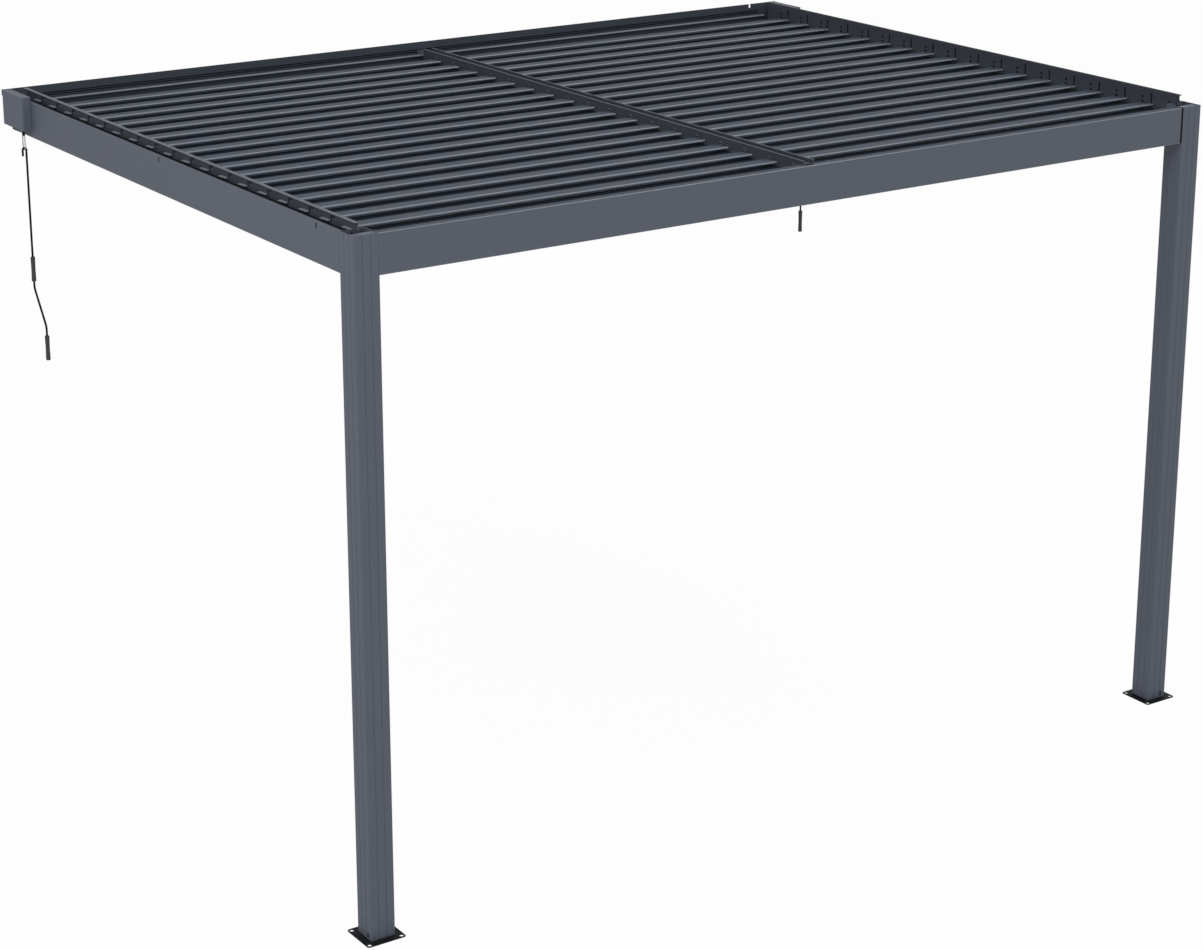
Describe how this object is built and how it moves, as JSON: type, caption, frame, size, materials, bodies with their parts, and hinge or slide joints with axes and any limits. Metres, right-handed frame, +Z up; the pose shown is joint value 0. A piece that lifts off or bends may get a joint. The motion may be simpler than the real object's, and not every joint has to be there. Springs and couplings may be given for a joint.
{
  "type": "wall-mounted louvred pergola",
  "caption": "Lean-to aluminium pergola on two grooved posts, with gutter beams, a middle beam and two bays of linked tilting louvres, each turned by a hanging crank.",
  "frame": {"origin": "centre of the wall beam's back face, on the wall", "axes": "+X along the wall to the right seen from the front, -Y out from the wall to the posts, +Z up"},
  "size_m": [4.08, 2.99, 2.684],
  "materials": {
    "anthracite_powder_coat": "fine-textured satin powder coat on extruded aluminium",
    "dark_powder_coat": "satin powder coat on folded aluminium",
    "black_powder_coat": "black powder coat on steel",
    "zinc_plated_steel": "zinc-plated flat steel",
    "moulded_grip": "moulded dark plastic sleeve"
  },
  "bodies": {
    "frame": {"left_post": "anthracite_powder_coat", "right_post": "anthracite_powder_coat", "left_foot_plate": "black_powder_coat", "right_foot_plate": "black_powder_coat", "front_beam": "anthracite_powder_coat", "wall_beam": "anthracite_powder_coat", "wall_flashing": "anthracite_powder_coat", "middle_beam": "anthracite_powder_coat", "left_side_beam": "anthracite_powder_coat", "right_side_beam": "anthracite_powder_coat", "left_louvre_rail": "dark_powder_coat", "right_louvre_rail": "dark_powder_coat", "left_middle_rail": "dark_powder_coat", "right_middle_rail": "dark_powder_coat", "left_gear_housing": "anthracite_powder_coat", "right_gear_housing": "anthracite_powder_coat"},
    "left_crank": {"left_crank": "black_powder_coat", "left_crank_grips": "moulded_grip"},
    "left_louvre_01": {"left_louvre_01": "anthracite_powder_coat"},
    "left_louvre_02": {"left_louvre_02": "anthracite_powder_coat"},
    "left_louvre_03": {"left_louvre_03": "anthracite_powder_coat"},
    "left_louvre_04": {"left_louvre_04": "anthracite_powder_coat"},
    "left_louvre_05": {"left_louvre_05": "anthracite_powder_coat"},
    "left_louvre_06": {"left_louvre_06": "anthracite_powder_coat"},
    "left_louvre_07": {"left_louvre_07": "anthracite_powder_coat"},
    "left_louvre_08": {"left_louvre_08": "anthracite_powder_coat"},
    "left_louvre_09": {"left_louvre_09": "anthracite_powder_coat"},
    "left_louvre_10": {"left_louvre_10": "anthracite_powder_coat"},
    "left_louvre_11": {"left_louvre_11": "anthracite_powder_coat"},
    "left_louvre_12": {"left_louvre_12": "anthracite_powder_coat"},
    "left_louvre_13": {"left_louvre_13": "anthracite_powder_coat"},
    "left_louvre_14": {"left_louvre_14": "anthracite_powder_coat"},
    "left_louvre_15": {"left_louvre_15": "anthracite_powder_coat"},
    "left_louvre_16": {"left_louvre_16": "anthracite_powder_coat"},
    "left_louvre_17": {"left_louvre_17": "anthracite_powder_coat"},
    "left_louvre_18": {"left_louvre_18": "anthracite_powder_coat"},
    "left_link_bar": {"left_link_bar": "zinc_plated_steel"},
    "right_crank": {"right_crank": "black_powder_coat", "right_crank_grips": "moulded_grip"},
    "right_louvre_01": {"right_louvre_01": "anthracite_powder_coat"},
    "right_louvre_02": {"right_louvre_02": "anthracite_powder_coat"},
    "right_louvre_03": {"right_louvre_03": "anthracite_powder_coat"},
    "right_louvre_04": {"right_louvre_04": "anthracite_powder_coat"},
    "right_louvre_05": {"right_louvre_05": "anthracite_powder_coat"},
    "right_louvre_06": {"right_louvre_06": "anthracite_powder_coat"},
    "right_louvre_07": {"right_louvre_07": "anthracite_powder_coat"},
    "right_louvre_08": {"right_louvre_08": "anthracite_powder_coat"},
    "right_louvre_09": {"right_louvre_09": "anthracite_powder_coat"},
    "right_louvre_10": {"right_louvre_10": "anthracite_powder_coat"},
    "right_louvre_11": {"right_louvre_11": "anthracite_powder_coat"},
    "right_louvre_12": {"right_louvre_12": "anthracite_powder_coat"},
    "right_louvre_13": {"right_louvre_13": "anthracite_powder_coat"},
    "right_louvre_14": {"right_louvre_14": "anthracite_powder_coat"},
    "right_louvre_15": {"right_louvre_15": "anthracite_powder_coat"},
    "right_louvre_16": {"right_louvre_16": "anthracite_powder_coat"},
    "right_louvre_17": {"right_louvre_17": "anthracite_powder_coat"},
    "right_louvre_18": {"right_louvre_18": "anthracite_powder_coat"},
    "right_link_bar": {"right_link_bar": "zinc_plated_steel"}
  },
  "joints": [
    {"name": "left_crank_turn", "type": "hinge", "parent": "frame", "child": "left_crank", "pos_m": [-2.022, -0.172, -0.06], "axis": [0, 0, 1], "range_deg": [0, 2700]},
    {"name": "left_louvre_01_tilt", "type": "hinge", "parent": "frame", "child": "left_louvre_01", "pos_m": [-1, -2.824, 0.037], "axis": [-1, 0, 0], "range_deg": [0, 90]},
    {"name": "left_louvre_02_tilt", "type": "hinge", "parent": "frame", "child": "left_louvre_02", "pos_m": [-1, -2.668, 0.037], "axis": [-1, 0, 0], "range_deg": [0, 90]},
    {"name": "left_louvre_03_tilt", "type": "hinge", "parent": "frame", "child": "left_louvre_03", "pos_m": [-1, -2.512, 0.037], "axis": [-1, 0, 0], "range_deg": [0, 90]},
    {"name": "left_louvre_04_tilt", "type": "hinge", "parent": "frame", "child": "left_louvre_04", "pos_m": [-1, -2.356, 0.037], "axis": [-1, 0, 0], "range_deg": [0, 90]},
    {"name": "left_louvre_05_tilt", "type": "hinge", "parent": "frame", "child": "left_louvre_05", "pos_m": [-1, -2.2, 0.037], "axis": [-1, 0, 0], "range_deg": [0, 90]},
    {"name": "left_louvre_06_tilt", "type": "hinge", "parent": "frame", "child": "left_louvre_06", "pos_m": [-1, -2.044, 0.037], "axis": [-1, 0, 0], "range_deg": [0, 90]},
    {"name": "left_louvre_07_tilt", "type": "hinge", "parent": "frame", "child": "left_louvre_07", "pos_m": [-1, -1.888, 0.037], "axis": [-1, 0, 0], "range_deg": [0, 90]},
    {"name": "left_louvre_08_tilt", "type": "hinge", "parent": "frame", "child": "left_louvre_08", "pos_m": [-1, -1.732, 0.037], "axis": [-1, 0, 0], "range_deg": [0, 90]},
    {"name": "left_louvre_09_tilt", "type": "hinge", "parent": "frame", "child": "left_louvre_09", "pos_m": [-1, -1.576, 0.037], "axis": [-1, 0, 0], "range_deg": [0, 90]},
    {"name": "left_louvre_10_tilt", "type": "hinge", "parent": "frame", "child": "left_louvre_10", "pos_m": [-1, -1.42, 0.037], "axis": [-1, 0, 0], "range_deg": [0, 90]},
    {"name": "left_louvre_11_tilt", "type": "hinge", "parent": "frame", "child": "left_louvre_11", "pos_m": [-1, -1.264, 0.037], "axis": [-1, 0, 0], "range_deg": [0, 90]},
    {"name": "left_louvre_12_tilt", "type": "hinge", "parent": "frame", "child": "left_louvre_12", "pos_m": [-1, -1.108, 0.037], "axis": [-1, 0, 0], "range_deg": [0, 90]},
    {"name": "left_louvre_13_tilt", "type": "hinge", "parent": "frame", "child": "left_louvre_13", "pos_m": [-1, -0.952, 0.037], "axis": [-1, 0, 0], "range_deg": [0, 90]},
    {"name": "left_louvre_14_tilt", "type": "hinge", "parent": "frame", "child": "left_louvre_14", "pos_m": [-1, -0.796, 0.037], "axis": [-1, 0, 0], "range_deg": [0, 90]},
    {"name": "left_louvre_15_tilt", "type": "hinge", "parent": "frame", "child": "left_louvre_15", "pos_m": [-1, -0.64, 0.037], "axis": [-1, 0, 0], "range_deg": [0, 90]},
    {"name": "left_louvre_16_tilt", "type": "hinge", "parent": "frame", "child": "left_louvre_16", "pos_m": [-1, -0.484, 0.037], "axis": [-1, 0, 0], "range_deg": [0, 90]},
    {"name": "left_louvre_17_tilt", "type": "hinge", "parent": "frame", "child": "left_louvre_17", "pos_m": [-1, -0.328, 0.037], "axis": [-1, 0, 0], "range_deg": [0, 90]},
    {"name": "left_louvre_18_tilt", "type": "hinge", "parent": "frame", "child": "left_louvre_18", "pos_m": [-1, -0.172, 0.037], "axis": [-1, 0, 0], "range_deg": [0, 90]},
    {"name": "left_link_pivot", "type": "hinge", "parent": "left_louvre_18", "child": "left_link_bar", "pos_m": [-1.921, -0.14654, 0.01154], "axis": [-1, 0, 0], "range_deg": [-90, 0]},
    {"name": "right_crank_turn", "type": "hinge", "parent": "frame", "child": "right_crank", "pos_m": [2.022, -0.172, -0.06], "axis": [0, 0, 1], "range_deg": [0, 2700]},
    {"name": "right_louvre_01_tilt", "type": "hinge", "parent": "frame", "child": "right_louvre_01", "pos_m": [1, -2.824, 0.037], "axis": [-1, 0, 0], "range_deg": [0, 90]},
    {"name": "right_louvre_02_tilt", "type": "hinge", "parent": "frame", "child": "right_louvre_02", "pos_m": [1, -2.668, 0.037], "axis": [-1, 0, 0], "range_deg": [0, 90]},
    {"name": "right_louvre_03_tilt", "type": "hinge", "parent": "frame", "child": "right_louvre_03", "pos_m": [1, -2.512, 0.037], "axis": [-1, 0, 0], "range_deg": [0, 90]},
    {"name": "right_louvre_04_tilt", "type": "hinge", "parent": "frame", "child": "right_louvre_04", "pos_m": [1, -2.356, 0.037], "axis": [-1, 0, 0], "range_deg": [0, 90]},
    {"name": "right_louvre_05_tilt", "type": "hinge", "parent": "frame", "child": "right_louvre_05", "pos_m": [1, -2.2, 0.037], "axis": [-1, 0, 0], "range_deg": [0, 90]},
    {"name": "right_louvre_06_tilt", "type": "hinge", "parent": "frame", "child": "right_louvre_06", "pos_m": [1, -2.044, 0.037], "axis": [-1, 0, 0], "range_deg": [0, 90]},
    {"name": "right_louvre_07_tilt", "type": "hinge", "parent": "frame", "child": "right_louvre_07", "pos_m": [1, -1.888, 0.037], "axis": [-1, 0, 0], "range_deg": [0, 90]},
    {"name": "right_louvre_08_tilt", "type": "hinge", "parent": "frame", "child": "right_louvre_08", "pos_m": [1, -1.732, 0.037], "axis": [-1, 0, 0], "range_deg": [0, 90]},
    {"name": "right_louvre_09_tilt", "type": "hinge", "parent": "frame", "child": "right_louvre_09", "pos_m": [1, -1.576, 0.037], "axis": [-1, 0, 0], "range_deg": [0, 90]},
    {"name": "right_louvre_10_tilt", "type": "hinge", "parent": "frame", "child": "right_louvre_10", "pos_m": [1, -1.42, 0.037], "axis": [-1, 0, 0], "range_deg": [0, 90]},
    {"name": "right_louvre_11_tilt", "type": "hinge", "parent": "frame", "child": "right_louvre_11", "pos_m": [1, -1.264, 0.037], "axis": [-1, 0, 0], "range_deg": [0, 90]},
    {"name": "right_louvre_12_tilt", "type": "hinge", "parent": "frame", "child": "right_louvre_12", "pos_m": [1, -1.108, 0.037], "axis": [-1, 0, 0], "range_deg": [0, 90]},
    {"name": "right_louvre_13_tilt", "type": "hinge", "parent": "frame", "child": "right_louvre_13", "pos_m": [1, -0.952, 0.037], "axis": [-1, 0, 0], "range_deg": [0, 90]},
    {"name": "right_louvre_14_tilt", "type": "hinge", "parent": "frame", "child": "right_louvre_14", "pos_m": [1, -0.796, 0.037], "axis": [-1, 0, 0], "range_deg": [0, 90]},
    {"name": "right_louvre_15_tilt", "type": "hinge", "parent": "frame", "child": "right_louvre_15", "pos_m": [1, -0.64, 0.037], "axis": [-1, 0, 0], "range_deg": [0, 90]},
    {"name": "right_louvre_16_tilt", "type": "hinge", "parent": "frame", "child": "right_louvre_16", "pos_m": [1, -0.484, 0.037], "axis": [-1, 0, 0], "range_deg": [0, 90]},
    {"name": "right_louvre_17_tilt", "type": "hinge", "parent": "frame", "child": "right_louvre_17", "pos_m": [1, -0.328, 0.037], "axis": [-1, 0, 0], "range_deg": [0, 90]},
    {"name": "right_louvre_18_tilt", "type": "hinge", "parent": "frame", "child": "right_louvre_18", "pos_m": [1, -0.172, 0.037], "axis": [-1, 0, 0], "range_deg": [0, 90]},
    {"name": "right_link_pivot", "type": "hinge", "parent": "right_louvre_18", "child": "right_link_bar", "pos_m": [1.921, -0.14654, 0.01154], "axis": [-1, 0, 0], "range_deg": [-90, 0]}
  ],
  "couplings": [
    {"joint": "left_louvre_01_tilt", "follows": "left_crank_turn", "ratio": 0.033333},
    {"joint": "left_louvre_02_tilt", "follows": "left_crank_turn", "ratio": 0.033333},
    {"joint": "left_louvre_03_tilt", "follows": "left_crank_turn", "ratio": 0.033333},
    {"joint": "left_louvre_04_tilt", "follows": "left_crank_turn", "ratio": 0.033333},
    {"joint": "left_louvre_05_tilt", "follows": "left_crank_turn", "ratio": 0.033333},
    {"joint": "left_louvre_06_tilt", "follows": "left_crank_turn", "ratio": 0.033333},
    {"joint": "left_louvre_07_tilt", "follows": "left_crank_turn", "ratio": 0.033333},
    {"joint": "left_louvre_08_tilt", "follows": "left_crank_turn", "ratio": 0.033333},
    {"joint": "left_louvre_09_tilt", "follows": "left_crank_turn", "ratio": 0.033333},
    {"joint": "left_louvre_10_tilt", "follows": "left_crank_turn", "ratio": 0.033333},
    {"joint": "left_louvre_11_tilt", "follows": "left_crank_turn", "ratio": 0.033333},
    {"joint": "left_louvre_12_tilt", "follows": "left_crank_turn", "ratio": 0.033333},
    {"joint": "left_louvre_13_tilt", "follows": "left_crank_turn", "ratio": 0.033333},
    {"joint": "left_louvre_14_tilt", "follows": "left_crank_turn", "ratio": 0.033333},
    {"joint": "left_louvre_15_tilt", "follows": "left_crank_turn", "ratio": 0.033333},
    {"joint": "left_louvre_16_tilt", "follows": "left_crank_turn", "ratio": 0.033333},
    {"joint": "left_louvre_17_tilt", "follows": "left_crank_turn", "ratio": 0.033333},
    {"joint": "left_louvre_18_tilt", "follows": "left_crank_turn", "ratio": 0.033333},
    {"joint": "left_link_pivot", "follows": "left_crank_turn", "ratio": -0.033333},
    {"joint": "right_louvre_01_tilt", "follows": "right_crank_turn", "ratio": 0.033333},
    {"joint": "right_louvre_02_tilt", "follows": "right_crank_turn", "ratio": 0.033333},
    {"joint": "right_louvre_03_tilt", "follows": "right_crank_turn", "ratio": 0.033333},
    {"joint": "right_louvre_04_tilt", "follows": "right_crank_turn", "ratio": 0.033333},
    {"joint": "right_louvre_05_tilt", "follows": "right_crank_turn", "ratio": 0.033333},
    {"joint": "right_louvre_06_tilt", "follows": "right_crank_turn", "ratio": 0.033333},
    {"joint": "right_louvre_07_tilt", "follows": "right_crank_turn", "ratio": 0.033333},
    {"joint": "right_louvre_08_tilt", "follows": "right_crank_turn", "ratio": 0.033333},
    {"joint": "right_louvre_09_tilt", "follows": "right_crank_turn", "ratio": 0.033333},
    {"joint": "right_louvre_10_tilt", "follows": "right_crank_turn", "ratio": 0.033333},
    {"joint": "right_louvre_11_tilt", "follows": "right_crank_turn", "ratio": 0.033333},
    {"joint": "right_louvre_12_tilt", "follows": "right_crank_turn", "ratio": 0.033333},
    {"joint": "right_louvre_13_tilt", "follows": "right_crank_turn", "ratio": 0.033333},
    {"joint": "right_louvre_14_tilt", "follows": "right_crank_turn", "ratio": 0.033333},
    {"joint": "right_louvre_15_tilt", "follows": "right_crank_turn", "ratio": 0.033333},
    {"joint": "right_louvre_16_tilt", "follows": "right_crank_turn", "ratio": 0.033333},
    {"joint": "right_louvre_17_tilt", "follows": "right_crank_turn", "ratio": 0.033333},
    {"joint": "right_louvre_18_tilt", "follows": "right_crank_turn", "ratio": 0.033333},
    {"joint": "right_link_pivot", "follows": "right_crank_turn", "ratio": -0.033333}
  ]
}
